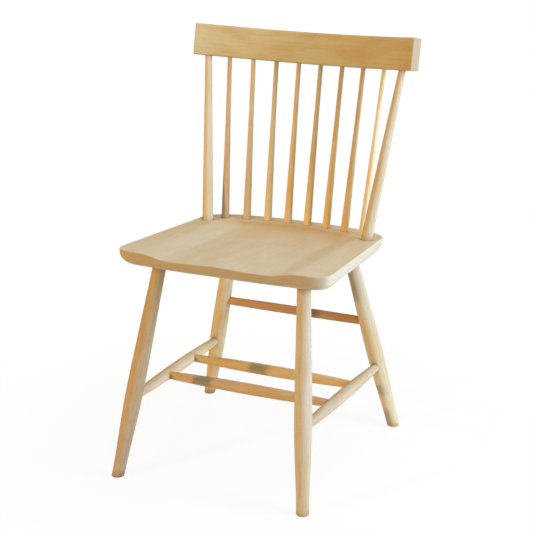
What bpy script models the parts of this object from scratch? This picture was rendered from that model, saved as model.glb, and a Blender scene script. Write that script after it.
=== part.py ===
"""Spindle-back side chair in pale hardwood, modelled as the pieces it is joined from.

A carved saddle seat stands on four raked, turned legs tied by stretchers, and carries two posts and a
comb of spindles under a bent crest rail. Every joint is a round tenon in a blind socket.
Metres, +Z up. The sitter faces -Y, and left and right are as seen from the front, so left is -X.
"""

import math

import bmesh
import bpy
from mathutils import Matrix, Vector

# Fit of the joints
FIT_GAP = 0.0003  # room left round a tenon and past its end

# Seat blank
SEAT_HEIGHT = 0.4437  # top of the rim above the floor, at the front corners
SEAT_FALL = math.radians(3.72)  # the seat tips down towards the back
SEAT_DEPTH = 0.4193  # front edge to rear edge on the centre line
SEAT_FRONT_WIDTH = 0.433
SEAT_REAR_WIDTH = 0.390
SEAT_FRONT_BOW = 0.0065  # how far the front edge curves out
SEAT_REAR_BOW = 0.0288  # how far the rear edge curves out
SEAT_FRONT_CORNER = 0.0435  # length of the front edge that a rounded corner takes up
SEAT_REAR_CORNER = 0.069  # length of the rear edge that one takes up
SEAT_SIDE_CORNER = 0.041  # length of a side that either takes up
SEAT_THICKNESS = 0.031
SEAT_TOP_ROUND = 0.0018  # radius of the top edge
SEAT_EDGE_LAND = 0.002  # upright edge between the round of the top and that of the underside
UNDERCUT_FRONT = 0.029  # how far the rounded underside draws in
UNDERCUT_SIDE = 0.0176
UNDERCUT_REAR = 0.022

# Saddle carved into the top of the seat
SADDLE_DEPTH = 0.0125  # below the rim, at its deepest
SADDLE_FRONT_DEPTH = 0.008  # below the rim, at the front edge
SADDLE_FALL_START = 0.097  # from the front edge back to where the floor starts to fall
SADDLE_FALL_LENGTH = 0.180  # from there back to the deepest place
SADDLE_WIDTH = 0.318  # between the tops of its side walls
SADDLE_SIDE_WALL = 0.058  # width of the slope from the rim to the floor, at the sides
SADDLE_REAR_WALL = 0.034  # and in front of the spindles
SADDLE_DECK = 0.014  # flat left in front of the spindle centres
POMMEL_RISE = 0.0025  # ridge between the thighs, above the floor of the saddle
POMMEL_WIDTH = 0.045  # from the ridge out to about a third of its height
POMMEL_LENGTH = 0.177  # from the front edge back to where the ridge dies out

# Legs
LEG_FOOT_RADIUS = 0.0119
LEG_SWELL_RADIUS = 0.0167
LEG_TOP_RADIUS = 0.0132
LEG_SWELL_HEIGHT = 0.165  # from the floor to the thickest place
LEG_COVER = 0.003  # wood between a leg tenon and the floor of the saddle
FOOT_ROUND = 0.0015
FRONT_LEG_SPREAD = 0.296  # between the leg centres at the underside of the seat
FRONT_LEG_SETBACK = 0.0711  # from the front edge of the seat
FRONT_LEG_SPLAY = math.radians(6.4)
FRONT_LEG_RAKE = math.radians(14.6)
REAR_LEG_SPREAD = 0.256
REAR_LEG_SETBACK = 0.0681  # from the rear edge of the seat
REAR_LEG_SPLAY = math.radians(12.5)
REAR_LEG_RAKE = math.radians(8.4)

# Stretchers
SIDE_STRETCHER_FRONT_HEIGHT = 0.151
SIDE_STRETCHER_REAR_HEIGHT = 0.137
SIDE_STRETCHER_RADIUS = 0.0120  # at the middle
SIDE_STRETCHER_END_RADIUS = 0.0081
CROSS_STRETCHER_FRONT_SETBACK = 0.140  # along a side stretcher from the front leg
CROSS_STRETCHER_REAR_SETBACK = 0.254
CROSS_STRETCHER_RADIUS = 0.0113
CROSS_STRETCHER_END_RADIUS = 0.0078
REAR_STRETCHER_HEIGHT = 0.235
REAR_STRETCHER_RADIUS = 0.0092
REAR_STRETCHER_END_RADIUS = 0.0083
TENON_PAST_CENTRE = 0.002  # how far a stretcher's tenon runs past the middle of the piece it enters

# Spindles and posts
SPINDLE_COUNT = 8
SPINDLE_SETBACK = 0.0297  # from the rear edge of the seat, on the centre line
SPINDLE_ARC_SAG = 0.027  # how far the outer spindles stand in front of the middle ones
SPINDLE_SEAT_SPREAD = 0.3035  # between the outer spindles at the seat
SPINDLE_CREST_INSET = 0.066  # from an end of the crest rail to the outer spindle
SPINDLE_SEAT_RADIUS = 0.0081
SPINDLE_WAIST_RADIUS = 0.0049
SPINDLE_CREST_RADIUS = 0.0045
SPINDLE_WAIST_HEIGHT = 0.215  # above the seat, where the taper eases off
POST_SETBACK = 0.0943  # from the rear edge of the seat
POST_SEAT_SPREAD = 0.348
POST_CREST_INSET = 0.0245  # from an end of the crest rail to the post
POST_SEAT_RADIUS = 0.0112
POST_CREST_RADIUS = 0.0069
SPINDLE_COVER = 0.010  # wood left under a tenon in the seat
CREST_TENON = 0.024  # length of a tenon in the crest rail
TENON_CHAMFER = 0.001

# Crest rail
BACK_HEIGHT = 0.3198  # from the seat to the underside of the crest rail, at the middle
BACK_RAKE = math.radians(10.1)  # lean of the middle spindles
CREST_WIDTH = 0.467  # straight across the front face
CREST_HEIGHT = 0.0629
CREST_THICKNESS = 0.0222
CREST_SAG = 0.051  # how far the middle of the bend stands behind the ends
CREST_LEAN = math.radians(13.5)
CREST_FRONT_ROUND = 0.005  # radius of the top front edge
CREST_EDGE_ROUND = 0.0025  # radius of the other long edges
CREST_END_ROUND = 0.0018  # radius of the edges round its ends

# Facets
SEAT_POINTS = 88  # points round the seat
SADDLE_RINGS = 12  # rings from the middle of the saddle to its edge
CURVE_STEPS = 16  # points along each curved edge before they are spaced evenly
LEG_SIDES = 24
STRETCHER_SIDES = 20
SPINDLE_SIDES = 16
SOCKET_SIDES = 20
LEG_RINGS = 6  # rings below the swell of a leg, and as many above it
STRETCHER_RINGS = 9
CREST_STEPS = 18
ARC_STEPS = 4  # points round an edge of the seat
CREST_ARC_STEPS = 7  # points round an edge of the crest rail
FOOT_FACETS = 2  # facets of the eased edge of a foot
CREST_FACETS = 4  # facets of an eased edge of the crest rail
SHARP_EDGE = math.radians(50)  # edges that turn by more than this are eased, and shaded as corners
CUTTER_SPARE = 0.030  # how far a cutter stands out of the piece it cuts
MERGE = 0.00001

# Colours of the bare wood, as red, green and blue in linear light
SEAT_COLOUR = (0.68, 0.52, 0.34, 1.0)
LEG_COLOUR = (0.70, 0.53, 0.33, 1.0)
BACK_COLOUR = (0.69, 0.50, 0.28, 1.0)
WOOD_ROUGHNESS = 0.45

LEFT, RIGHT = -1, 1
SIDES = {"left": LEFT, "right": RIGHT}


def ease(share):
    """S-shaped step from 0 to 1."""
    share = min(max(share, 0.0), 1.0)
    return share * share * (3.0 - 2.0 * share)


def brink(share):
    """Step from 0 to 1 that starts steep and ends level."""
    share = min(max(share, 0.0), 1.0)
    return share * (2.0 - share)


def spread(first, last, count):
    """Evenly spaced values, both ends included."""
    return [first + (last - first) * i / (count - 1) for i in range(count)]


# Frames that the pieces are placed in

SEAT_FRAME = Matrix.Translation(
    (0.0, 0.0, SEAT_HEIGHT - math.sin(SEAT_FALL) * (SEAT_DEPTH / 2 - SEAT_FRONT_BOW))
) @ Matrix.Rotation(-SEAT_FALL, 4, "X")
SEAT_FRONT = -SEAT_DEPTH / 2
SEAT_REAR = SEAT_DEPTH / 2


def seat_point(x, y, depth=0.0):
    """A point of the chair from a place on the seat and a depth below its rim."""
    return SEAT_FRAME @ Vector((x, y, -depth))


def crest_frame():
    """Local origin at the middle of the crest's front bottom edge, X along it and Z up its face."""
    middle = seat_point(0.0, SEAT_REAR - SPINDLE_SETBACK)
    middle += Vector((0.0, math.tan(BACK_RAKE) * BACK_HEIGHT, BACK_HEIGHT))
    turn = Matrix.Rotation(-CREST_LEAN, 4, "X")
    return Matrix.Translation(middle) @ turn @ Matrix.Translation((0.0, -CREST_THICKNESS / 2, 0.0))


CREST_FRAME = crest_frame()
SPINDLE_CREST_SPREAD = CREST_WIDTH - 2 * SPINDLE_CREST_INSET
POST_CREST_SPREAD = CREST_WIDTH - 2 * POST_CREST_INSET
CREST_RADIUS = ((CREST_WIDTH / 2) ** 2 + CREST_SAG**2) / (2 * CREST_SAG)  # of the front face


def crest_socket(x):
    """Middle of the crest's underside, a distance x from its centre line."""
    radius = CREST_RADIUS + CREST_THICKNESS / 2
    return CREST_FRAME @ Vector((x, math.sqrt(radius * radius - x * x) - CREST_RADIUS, 0.0))


# Objects, materials and cutters


def clear_scene():
    for old in list(bpy.data.objects):
        bpy.data.objects.remove(old, do_unlink=True)


def new_collection(name):
    collection = bpy.data.collections.new(name)
    bpy.context.scene.collection.children.link(collection)
    return collection


clear_scene()
PARTS = new_collection("spindle_back_side_chair")
CUTTERS = new_collection("cutters")
CHAIR = bpy.data.objects.new("chair_origin", None)
PARTS.objects.link(CHAIR)


def bare_wood(name, colour):
    material = bpy.data.materials.new(name + "_wood")
    material.use_nodes = True
    shader = material.node_tree.nodes["Principled BSDF"]
    shader.inputs["Base Color"].default_value = colour
    shader.inputs["Roughness"].default_value = WOOD_ROUGHNESS
    shader.inputs["Metallic"].default_value = 0.0
    return material


def add_object(name, bm, collection):
    mesh = bpy.data.meshes.new(name)
    bm.to_mesh(mesh)
    bm.free()
    obj = bpy.data.objects.new(name, mesh)
    collection.objects.link(obj)
    obj.parent = CHAIR
    return obj


def add_piece(name, bm, colour):
    piece = add_object(name, bm, PARTS)
    piece.data.materials.append(bare_wood(name, colour))
    return piece


def add_cutter(name, bm):
    cutter = add_object(name, bm, CUTTERS)
    cutter.hide_render = True
    cutter.display_type = "WIRE"
    return cutter


def cut(piece, cutter):
    modifier = piece.modifiers.new(cutter.name, "BOOLEAN")
    modifier.operation = "DIFFERENCE"
    modifier.solver = "EXACT"
    modifier.object = cutter


def ease_edges(piece, radius, facets):
    """Rounds the sharp edges that the piece has so far."""
    edge = piece.modifiers.new("eased_edges", "BEVEL")
    edge.width = radius
    edge.segments = facets
    edge.limit_method = "ANGLE"
    edge.angle_limit = SHARP_EDGE


def bore(piece, tenons):
    """Blind sockets for tenons, each given as (mouth, end, radius), with the fit gap all round."""
    bm = bmesh.new()
    for mouth, end, radius in tenons:
        along = (end - mouth).normalized()
        start = mouth - along * CUTTER_SPARE
        stop = end + along * FIT_GAP
        across_corners = (radius + FIT_GAP) / math.cos(math.pi / SOCKET_SIDES)
        turn = along.to_track_quat("Z", "Y").to_matrix().to_4x4()
        bmesh.ops.create_cone(
            bm,
            cap_ends=True,
            segments=SOCKET_SIDES,
            radius1=across_corners,
            radius2=across_corners,
            depth=(stop - start).length,
            matrix=Matrix.Translation((start + stop) / 2) @ turn,
        )
    cut(piece, add_cutter(piece.name + "_sockets", bm))


def turned(name, start, end, profile, sides, colour):
    """A turned piece from start to end. The profile is (distance from start, radius) pairs in order."""
    length = (end - start).length
    outline = [(length, 0.0)] + list(reversed(profile)) + [(0.0, 0.0)]
    bm = bmesh.new()
    points = [bm.verts.new((radius, 0.0, along)) for along, radius in outline]
    for upper, lower in zip(points, points[1:]):
        bm.edges.new((upper, lower))
    piece = add_piece(name, bm, colour)
    piece.location = start
    piece.rotation_mode = "QUATERNION"
    piece.rotation_quaternion = (end - start).to_track_quat("Z", "Y")
    screw = piece.modifiers.new("turning", "SCREW")
    screw.axis = "Z"
    screw.steps = sides
    screw.render_steps = sides
    screw.use_merge_vertices = True
    screw.merge_threshold = MERGE
    screw.use_smooth_shade = True
    return piece


# Seat


def corner_curve(before, corner, after):
    """Rounded corner that leaves and joins its edges along their own directions."""
    curve = []
    for share in spread(0.0, 1.0, CURVE_STEPS):
        first = before.lerp(corner, share)
        second = corner.lerp(after, share)
        curve.append(first.lerp(second, share))
    return curve


def seat_outline():
    """Evenly spaced points round the seat, from the middle of the front edge to the right."""
    front_half = SEAT_FRONT_WIDTH / 2
    rear_half = SEAT_REAR_WIDTH / 2

    def front_edge(x):
        return Vector((x, SEAT_FRONT + SEAT_FRONT_BOW * (x / front_half) ** 2))

    def rear_edge(x):
        return Vector((x, SEAT_REAR - SEAT_REAR_BOW * (x / rear_half) ** 2))

    front_corner = front_edge(front_half)
    rear_corner = rear_edge(rear_half)
    side = (rear_corner - front_corner).normalized() * SEAT_SIDE_CORNER
    front_end = front_half - SEAT_FRONT_CORNER
    rear_end = rear_half - SEAT_REAR_CORNER
    half = [front_edge(x) for x in spread(0.0, front_end, CURVE_STEPS)]
    half += corner_curve(half[-1], front_corner, front_corner + side)[1:]
    half += corner_curve(rear_corner - side, rear_corner, rear_edge(rear_end))
    half += [rear_edge(x) for x in spread(rear_end, 0.0, CURVE_STEPS)[1:]]
    right = evenly_spaced(half, SEAT_POINTS // 2)
    left = [Vector((-point.x, point.y)) for point in reversed(right[1:-1])]
    return right + left


def evenly_spaced(line, pieces):
    """The same line with equal steps along it."""
    lengths = [0.0]
    for start, end in zip(line, line[1:]):
        lengths.append(lengths[-1] + (end - start).length)
    points = []
    leg = 0
    for target in spread(0.0, lengths[-1], pieces + 1):
        while leg < len(line) - 2 and lengths[leg + 1] < target:
            leg += 1
        share = (target - lengths[leg]) / (lengths[leg + 1] - lengths[leg])
        points.append(line[leg].lerp(line[leg + 1], share))
    return points


def spindle_arc(x):
    """Line of the spindles on the seat, bowed to the back."""
    return SEAT_REAR - SPINDLE_SETBACK - SPINDLE_ARC_SAG * (x / (SPINDLE_SEAT_SPREAD / 2)) ** 2


def saddle_depth(x, y):
    """Depth of the carving: open in front, ridged between the thighs, walled at the sides and rear."""
    from_side = (SADDLE_WIDTH / 2 - abs(x)) / SADDLE_SIDE_WALL
    from_deck = (spindle_arc(x) - SADDLE_DECK - y) / SADDLE_REAR_WALL
    from_front = y - SEAT_FRONT
    fall = ease((from_front - SADDLE_FALL_START) / SADDLE_FALL_LENGTH)
    floor = SADDLE_FRONT_DEPTH + (SADDLE_DEPTH - SADDLE_FRONT_DEPTH) * fall
    ridge = math.exp(-((x / POMMEL_WIDTH) ** 2)) * ease(1.0 - from_front / POMMEL_LENGTH)
    return max(floor * ease(from_side) * brink(from_deck) - POMMEL_RISE * ridge, 0.0)


def drawn_in(outline, side, front, rear):
    """The outline with its sides, front and rear drawn in by these distances."""
    ring = []
    for point in outline:
        x = point.x * (1.0 - side / (SEAT_FRONT_WIDTH / 2))
        y = point.y * (1.0 - (front if point.y < 0.0 else rear) / (SEAT_DEPTH / 2))
        ring.append(Vector((x, y)))
    return ring


def seat_rings():
    """Rings of the seat's surface, from the middle of the saddle out, over the edge and under."""
    outline = seat_outline()
    top = drawn_in(outline, SEAT_TOP_ROUND, SEAT_TOP_ROUND, SEAT_TOP_ROUND)
    rings = []
    for share in spread(0.0, 1.0, SADDLE_RINGS + 1)[1:]:
        flat = [point * share for point in top]
        rings.append([(p.x, p.y, -saddle_depth(p.x, p.y)) for p in flat])
    rim = [-saddle_depth(p.x, p.y) for p in top]
    for angle in spread(0.0, math.pi / 2, ARC_STEPS)[1:]:
        inset = SEAT_TOP_ROUND * (1.0 - math.sin(angle))
        drop = SEAT_TOP_ROUND * (1.0 - math.cos(angle))
        flat = drawn_in(outline, inset, inset, inset)
        rings.append([(p.x, p.y, z - drop) for p, z in zip(flat, rim)])
    edge = [z - SEAT_TOP_ROUND - SEAT_EDGE_LAND for z in rim]
    for angle in spread(0.0, math.pi / 2, ARC_STEPS + 1):
        inset = 1.0 - math.cos(angle)
        flat = drawn_in(outline, UNDERCUT_SIDE * inset, UNDERCUT_FRONT * inset, UNDERCUT_REAR * inset)
        share = math.sin(angle)
        rings.append([(p.x, p.y, z - (SEAT_THICKNESS + z) * share) for p, z in zip(flat, edge)])
    return rings


def make_seat():
    """Loft of the rings, closed by a point in the saddle and by the flat underside."""
    bm = bmesh.new()
    middle = bm.verts.new((0.0, 0.0, -saddle_depth(0.0, 0.0)))
    rings = [[bm.verts.new(point) for point in ring] for ring in seat_rings()]
    for i in range(SEAT_POINTS):
        j = (i + 1) % SEAT_POINTS
        bm.faces.new((middle, rings[0][i], rings[0][j]))
        for inner, outer in zip(rings, rings[1:]):
            bm.faces.new((inner[i], outer[i], outer[j], inner[j]))
    bm.faces.new(list(reversed(rings[-1])))
    seat = add_piece("seat", bm, SEAT_COLOUR)
    seat.matrix_local = SEAT_FRAME
    seat.data.shade_smooth()
    return seat


# Legs


class Leg:
    """One leg's axis: the foot on the floor, the place where it enters the seat, and its tenon's end."""

    def __init__(self, x, y, lean):
        self.entry = seat_point(x, y, SEAT_THICKNESS)
        self.up = lean.normalized()
        self.foot = self.at_height(0.0)
        seat_up = SEAT_FRAME.to_3x3() @ Vector((0.0, 0.0, 1.0))
        tenon = SEAT_THICKNESS - SADDLE_DEPTH - LEG_COVER
        self.end = self.entry + self.up * (tenon / self.up.dot(seat_up))

    def at_height(self, height):
        return self.entry + self.up * ((height - self.entry.z) / self.up.z)


def leg_radius(along, entry):
    """Radius at a distance up the leg: swelling from the foot, then tapering to the seat."""
    if along < LEG_SWELL_HEIGHT:
        return LEG_FOOT_RADIUS + (LEG_SWELL_RADIUS - LEG_FOOT_RADIUS) * ease(along / LEG_SWELL_HEIGHT)
    share = (along - LEG_SWELL_HEIGHT) / (entry - LEG_SWELL_HEIGHT)
    return LEG_SWELL_RADIUS + (LEG_TOP_RADIUS - LEG_SWELL_RADIUS) * ease(share)


def floor_cutter():
    """Block below the floor, which trims the feet flat."""
    reach = SEAT_FRONT_WIDTH + SEAT_DEPTH + SEAT_HEIGHT
    bm = bmesh.new()
    place = Matrix.Translation((0.0, 0.0, -reach / 2)) @ Matrix.Diagonal((2 * reach, 2 * reach, reach, 1.0))
    bmesh.ops.create_cube(bm, size=1.0, matrix=place)
    return add_cutter("floor_trim", bm)


def make_leg(name, leg, floor):
    spare = (leg.foot - leg.at_height(-CUTTER_SPARE)).length
    start = leg.foot - leg.up * spare
    entry = (leg.entry - leg.foot).length
    heights = spread(0.0, LEG_SWELL_HEIGHT, LEG_RINGS)[1:] + spread(LEG_SWELL_HEIGHT, entry, LEG_RINGS)[1:]
    profile = [(0.0, LEG_FOOT_RADIUS)]  # below the floor, so that the floor trims a plain length
    profile += [(spare + along, leg_radius(along, entry)) for along in heights]
    profile.append(((leg.end - start).length, LEG_TOP_RADIUS))
    piece = turned(name, start, leg.end, profile, LEG_SIDES, LEG_COLOUR)
    cut(piece, floor)
    ease_edges(piece, FOOT_ROUND, FOOT_FACETS)
    return piece


def leg_axes():
    legs = {}
    for name, side in SIDES.items():
        front = Vector((-side * math.tan(FRONT_LEG_SPLAY), math.tan(FRONT_LEG_RAKE), 1.0))
        rear = Vector((-side * math.tan(REAR_LEG_SPLAY), -math.tan(REAR_LEG_RAKE), 1.0))
        legs["front_" + name] = Leg(side * FRONT_LEG_SPREAD / 2, SEAT_FRONT + FRONT_LEG_SETBACK, front)
        legs["rear_" + name] = Leg(side * REAR_LEG_SPREAD / 2, SEAT_REAR - REAR_LEG_SETBACK, rear)
    return legs


# Stretchers


class Stretcher:
    """A stretcher between two piece centres, with a tenon that runs a little past each centre."""

    def __init__(self, first, second, middle_radius, end_radius):
        self.along = (second - first).normalized()
        self.first = first
        self.second = second
        self.start = first - self.along * TENON_PAST_CENTRE
        self.end = second + self.along * TENON_PAST_CENTRE
        self.middle_radius = middle_radius
        self.end_radius = end_radius

    def profile(self, first_radius, second_radius):
        """Full at the middle, thinner to where it enters the two pieces, then straight tenons."""
        length = (self.end - self.start).length
        enters = TENON_PAST_CENTRE + first_radius
        leaves = length - TENON_PAST_CENTRE - second_radius
        points = [(0.0, self.end_radius)]
        for share in spread(-1.0, 1.0, STRETCHER_RINGS):
            along = enters + (leaves - enters) * (share + 1.0) / 2
            radius = self.middle_radius + (self.end_radius - self.middle_radius) * share * share
            points.append((along, radius))
        points.append((length, self.end_radius))
        return points

    def tenons(self):
        """The socket for each end, as (mouth, end, radius)."""
        middle = (self.first + self.second) / 2
        return [(middle, self.start, self.end_radius), (middle, self.end, self.end_radius)]


def side_stretcher(front, rear):
    first = front.at_height(SIDE_STRETCHER_FRONT_HEIGHT)
    second = rear.at_height(SIDE_STRETCHER_REAR_HEIGHT)
    return Stretcher(first, second, SIDE_STRETCHER_RADIUS, SIDE_STRETCHER_END_RADIUS)


def cross_stretcher(left, right, setback):
    first = left.first + left.along * setback
    second = right.first + right.along * setback
    return Stretcher(first, second, CROSS_STRETCHER_RADIUS, CROSS_STRETCHER_END_RADIUS)


def rear_stretcher(left, right):
    first = left.at_height(REAR_STRETCHER_HEIGHT)
    second = right.at_height(REAR_STRETCHER_HEIGHT)
    return Stretcher(first, second, REAR_STRETCHER_RADIUS, REAR_STRETCHER_END_RADIUS)


def make_stretcher(name, stretcher, first_radius, second_radius):
    profile = stretcher.profile(first_radius, second_radius)
    return turned(name, stretcher.start, stretcher.end, profile, STRETCHER_SIDES, LEG_COLOUR)


def make_underframe(legs, floor):
    """Legs and stretchers, each bored for what enters it."""
    left = side_stretcher(legs["front_left"], legs["rear_left"])
    right = side_stretcher(legs["front_right"], legs["rear_right"])
    front_cross = cross_stretcher(left, right, CROSS_STRETCHER_FRONT_SETBACK)
    rear_cross = cross_stretcher(left, right, CROSS_STRETCHER_REAR_SETBACK)
    rear = rear_stretcher(legs["rear_left"], legs["rear_right"])

    entering = {
        "front_left": [left.tenons()[0]],
        "front_right": [right.tenons()[0]],
        "rear_left": [left.tenons()[1], rear.tenons()[0]],
        "rear_right": [right.tenons()[1], rear.tenons()[1]],
    }
    for name, leg in legs.items():
        bore(make_leg("leg_" + name, leg, floor), entering[name])

    swell = LEG_SWELL_RADIUS
    for end, (name, side) in enumerate((("left", left), ("right", right))):
        piece = make_stretcher("side_stretcher_" + name, side, swell, swell)
        bore(piece, [front_cross.tenons()[end], rear_cross.tenons()[end]])
    inner = SIDE_STRETCHER_RADIUS
    make_stretcher("cross_stretcher_front", front_cross, inner, inner)
    make_stretcher("cross_stretcher_rear", rear_cross, inner, inner)
    make_stretcher("rear_stretcher", rear, LEG_SWELL_RADIUS, LEG_SWELL_RADIUS)


# Back


class Upright:
    """A spindle or post: where it leaves the seat and enters the crest, with a tenon at each end."""

    def __init__(self, seat_x, seat_y, crest_x, seat_radius, crest_radius):
        self.foot = seat_point(seat_x, seat_y)
        self.head = crest_socket(crest_x)
        self.up = (self.head - self.foot).normalized()
        seat_up = SEAT_FRAME.to_3x3() @ Vector((0.0, 0.0, 1.0))
        self.start = self.foot - self.up * ((SEAT_THICKNESS - SPINDLE_COVER) / self.up.dot(seat_up))
        self.end = self.head + self.up * CREST_TENON
        self.seat_radius = seat_radius
        self.crest_radius = crest_radius

    def profile(self, waists):
        """Straight tenons, and between them a taper through any waists, given as (height, radius)."""
        foot = (self.foot - self.start).length
        head = (self.head - self.start).length
        end = (self.end - self.start).length
        points = [(0.0, self.seat_radius - TENON_CHAMFER), (TENON_CHAMFER, self.seat_radius)]
        points.append((foot, self.seat_radius))
        points += [(foot + height, radius) for height, radius in waists]
        points += [(head, self.crest_radius), (end - TENON_CHAMFER, self.crest_radius)]
        points.append((end, self.crest_radius - TENON_CHAMFER))
        return points


def make_back():
    """Spindles and posts. Returns the sockets that they need in the seat and in the crest."""
    uprights = []
    places = zip(
        spread(-SPINDLE_SEAT_SPREAD / 2, SPINDLE_SEAT_SPREAD / 2, SPINDLE_COUNT),
        spread(-SPINDLE_CREST_SPREAD / 2, SPINDLE_CREST_SPREAD / 2, SPINDLE_COUNT),
    )
    for number, (seat_x, crest_x) in enumerate(places, start=1):
        spindle = Upright(seat_x, spindle_arc(seat_x), crest_x, SPINDLE_SEAT_RADIUS, SPINDLE_CREST_RADIUS)
        profile = spindle.profile([(SPINDLE_WAIST_HEIGHT, SPINDLE_WAIST_RADIUS)])
        turned(f"spindle_{number}", spindle.start, spindle.end, profile, SPINDLE_SIDES, BACK_COLOUR)
        uprights.append(spindle)
    for name, side in SIDES.items():
        seat_x = side * POST_SEAT_SPREAD / 2
        crest_x = side * POST_CREST_SPREAD / 2
        post = Upright(seat_x, SEAT_REAR - POST_SETBACK, crest_x, POST_SEAT_RADIUS, POST_CREST_RADIUS)
        turned("back_post_" + name, post.start, post.end, post.profile([]), STRETCHER_SIDES, BACK_COLOUR)
        uprights.append(post)
    in_seat = [(upright.foot, upright.start, upright.seat_radius) for upright in uprights]
    in_crest = [(upright.head, upright.end, upright.crest_radius) for upright in uprights]
    return in_seat, in_crest


def crest_section():
    """Upright section of the crest as (depth, height) points, with rounded edges."""
    back = CREST_THICKNESS
    top = CREST_HEIGHT
    small = CREST_EDGE_ROUND
    large = CREST_FRONT_ROUND
    corners = [
        (small, small, small, math.pi),
        (back - small, small, small, 1.5 * math.pi),
        (back - small, top - small, small, 0.0),
        (large, top - large, large, 0.5 * math.pi),
    ]
    points = []
    for depth, height, radius, first in corners:
        for angle in spread(first, first + math.pi / 2, CREST_ARC_STEPS):
            points.append((depth + radius * math.cos(angle), height + radius * math.sin(angle)))
    return points


def make_crest(sockets):
    """The section swept along the bend, with square ends that are eased at their edges."""
    half_angle = math.asin(CREST_WIDTH / 2 / CREST_RADIUS)
    bm = bmesh.new()
    section = [bm.verts.new((0.0, depth, height)) for depth, height in crest_section()]
    for i, vert in enumerate(section):
        bm.edges.new((vert, section[(i + 1) % len(section)]))
    centre = Vector((0.0, -CREST_RADIUS, 0.0))
    turn = Matrix.Rotation(half_angle, 3, "Z")
    bmesh.ops.rotate(bm, verts=bm.verts, cent=centre, matrix=turn)
    bmesh.ops.spin(
        bm,
        geom=bm.verts[:] + bm.edges[:],
        cent=centre,
        axis=(0.0, 0.0, 1.0),
        angle=-2 * half_angle,
        steps=CREST_STEPS,
    )
    bmesh.ops.holes_fill(bm, edges=bm.edges)
    bmesh.ops.recalc_face_normals(bm, faces=bm.faces)
    crest = add_piece("crest_rail", bm, BACK_COLOUR)
    crest.matrix_local = CREST_FRAME
    crest.data.shade_smooth()
    crest.data.set_sharp_from_angle(angle=SHARP_EDGE)
    ease_edges(crest, CREST_END_ROUND, CREST_FACETS)
    bore(crest, sockets)


def centre_on_origin():
    """Puts the origin under the middle of the finished chair."""
    bpy.context.view_layer.update()
    scene = bpy.context.evaluated_depsgraph_get()
    reach = []
    for piece in PARTS.objects:
        if piece.type == "MESH":
            shown = piece.evaluated_get(scene)
            reach += [(shown.matrix_world @ vert.co).y for vert in shown.data.vertices]
    CHAIR.location.y = -(min(reach) + max(reach)) / 2
    bpy.context.view_layer.update()


def main():
    legs = leg_axes()
    seat = make_seat()
    in_seat, in_crest = make_back()
    in_seat += [(leg.entry, leg.end, LEG_TOP_RADIUS) for leg in legs.values()]
    bore(seat, in_seat)
    make_crest(in_crest)
    make_underframe(legs, floor_cutter())
    centre_on_origin()


main()
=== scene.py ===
import math

import bmesh
import bpy
from mathutils import Matrix, Vector


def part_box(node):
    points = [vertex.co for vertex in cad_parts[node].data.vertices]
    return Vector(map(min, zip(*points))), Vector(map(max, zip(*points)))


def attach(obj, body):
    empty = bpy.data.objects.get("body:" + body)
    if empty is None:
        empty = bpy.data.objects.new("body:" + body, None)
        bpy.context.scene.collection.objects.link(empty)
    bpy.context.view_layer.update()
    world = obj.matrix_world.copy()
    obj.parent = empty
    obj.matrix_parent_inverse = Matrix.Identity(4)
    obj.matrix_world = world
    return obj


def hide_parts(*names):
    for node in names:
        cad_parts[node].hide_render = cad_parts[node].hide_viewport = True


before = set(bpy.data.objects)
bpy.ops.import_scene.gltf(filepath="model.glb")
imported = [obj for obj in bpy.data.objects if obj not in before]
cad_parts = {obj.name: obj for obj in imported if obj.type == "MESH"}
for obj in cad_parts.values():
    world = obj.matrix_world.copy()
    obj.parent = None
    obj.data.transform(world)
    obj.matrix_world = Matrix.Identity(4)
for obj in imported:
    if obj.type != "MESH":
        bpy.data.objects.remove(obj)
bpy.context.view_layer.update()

# Sizes, the same as in the part's source
FIT_GAP = 0.0003
SEAT_HEIGHT = 0.4437
SEAT_FALL = math.radians(3.72)
SEAT_DEPTH = 0.4193
SEAT_FRONT_WIDTH = 0.433
SEAT_REAR_WIDTH = 0.390
SEAT_FRONT_BOW = 0.0065
SEAT_REAR_BOW = 0.0288
SEAT_FRONT_CORNER = 0.0435
SEAT_REAR_CORNER = 0.069
SEAT_SIDE_CORNER = 0.041
SEAT_THICKNESS = 0.031
SEAT_TOP_ROUND = 0.0018
SEAT_EDGE_LAND = 0.002
UNDERCUT_FRONT = 0.029
UNDERCUT_SIDE = 0.0176
UNDERCUT_REAR = 0.022
SADDLE_DEPTH = 0.0125
SADDLE_FRONT_DEPTH = 0.008
SADDLE_FALL_START = 0.097
SADDLE_FALL_LENGTH = 0.180
SADDLE_WIDTH = 0.318
SADDLE_SIDE_WALL = 0.058
SADDLE_REAR_WALL = 0.034
SADDLE_DECK = 0.014
POMMEL_RISE = 0.0025
POMMEL_WIDTH = 0.045
POMMEL_LENGTH = 0.177
LEG_FOOT_RADIUS = 0.0119
LEG_SWELL_RADIUS = 0.0167
LEG_TOP_RADIUS = 0.0132
LEG_SWELL_HEIGHT = 0.165
LEG_COVER = 0.003
FOOT_ROUND = 0.0015
FRONT_LEG_SPREAD = 0.296
FRONT_LEG_SETBACK = 0.0711
FRONT_LEG_SPLAY = math.radians(6.4)
FRONT_LEG_RAKE = math.radians(14.6)
REAR_LEG_SPREAD = 0.256
REAR_LEG_SETBACK = 0.0681
REAR_LEG_SPLAY = math.radians(12.5)
REAR_LEG_RAKE = math.radians(8.4)
SIDE_STRETCHER_FRONT_HEIGHT = 0.151
SIDE_STRETCHER_REAR_HEIGHT = 0.137
SIDE_STRETCHER_RADIUS = 0.0120
SIDE_STRETCHER_END_RADIUS = 0.0081
CROSS_STRETCHER_FRONT_SETBACK = 0.140
CROSS_STRETCHER_REAR_SETBACK = 0.254
CROSS_STRETCHER_RADIUS = 0.0113
CROSS_STRETCHER_END_RADIUS = 0.0078
REAR_STRETCHER_HEIGHT = 0.235
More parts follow.
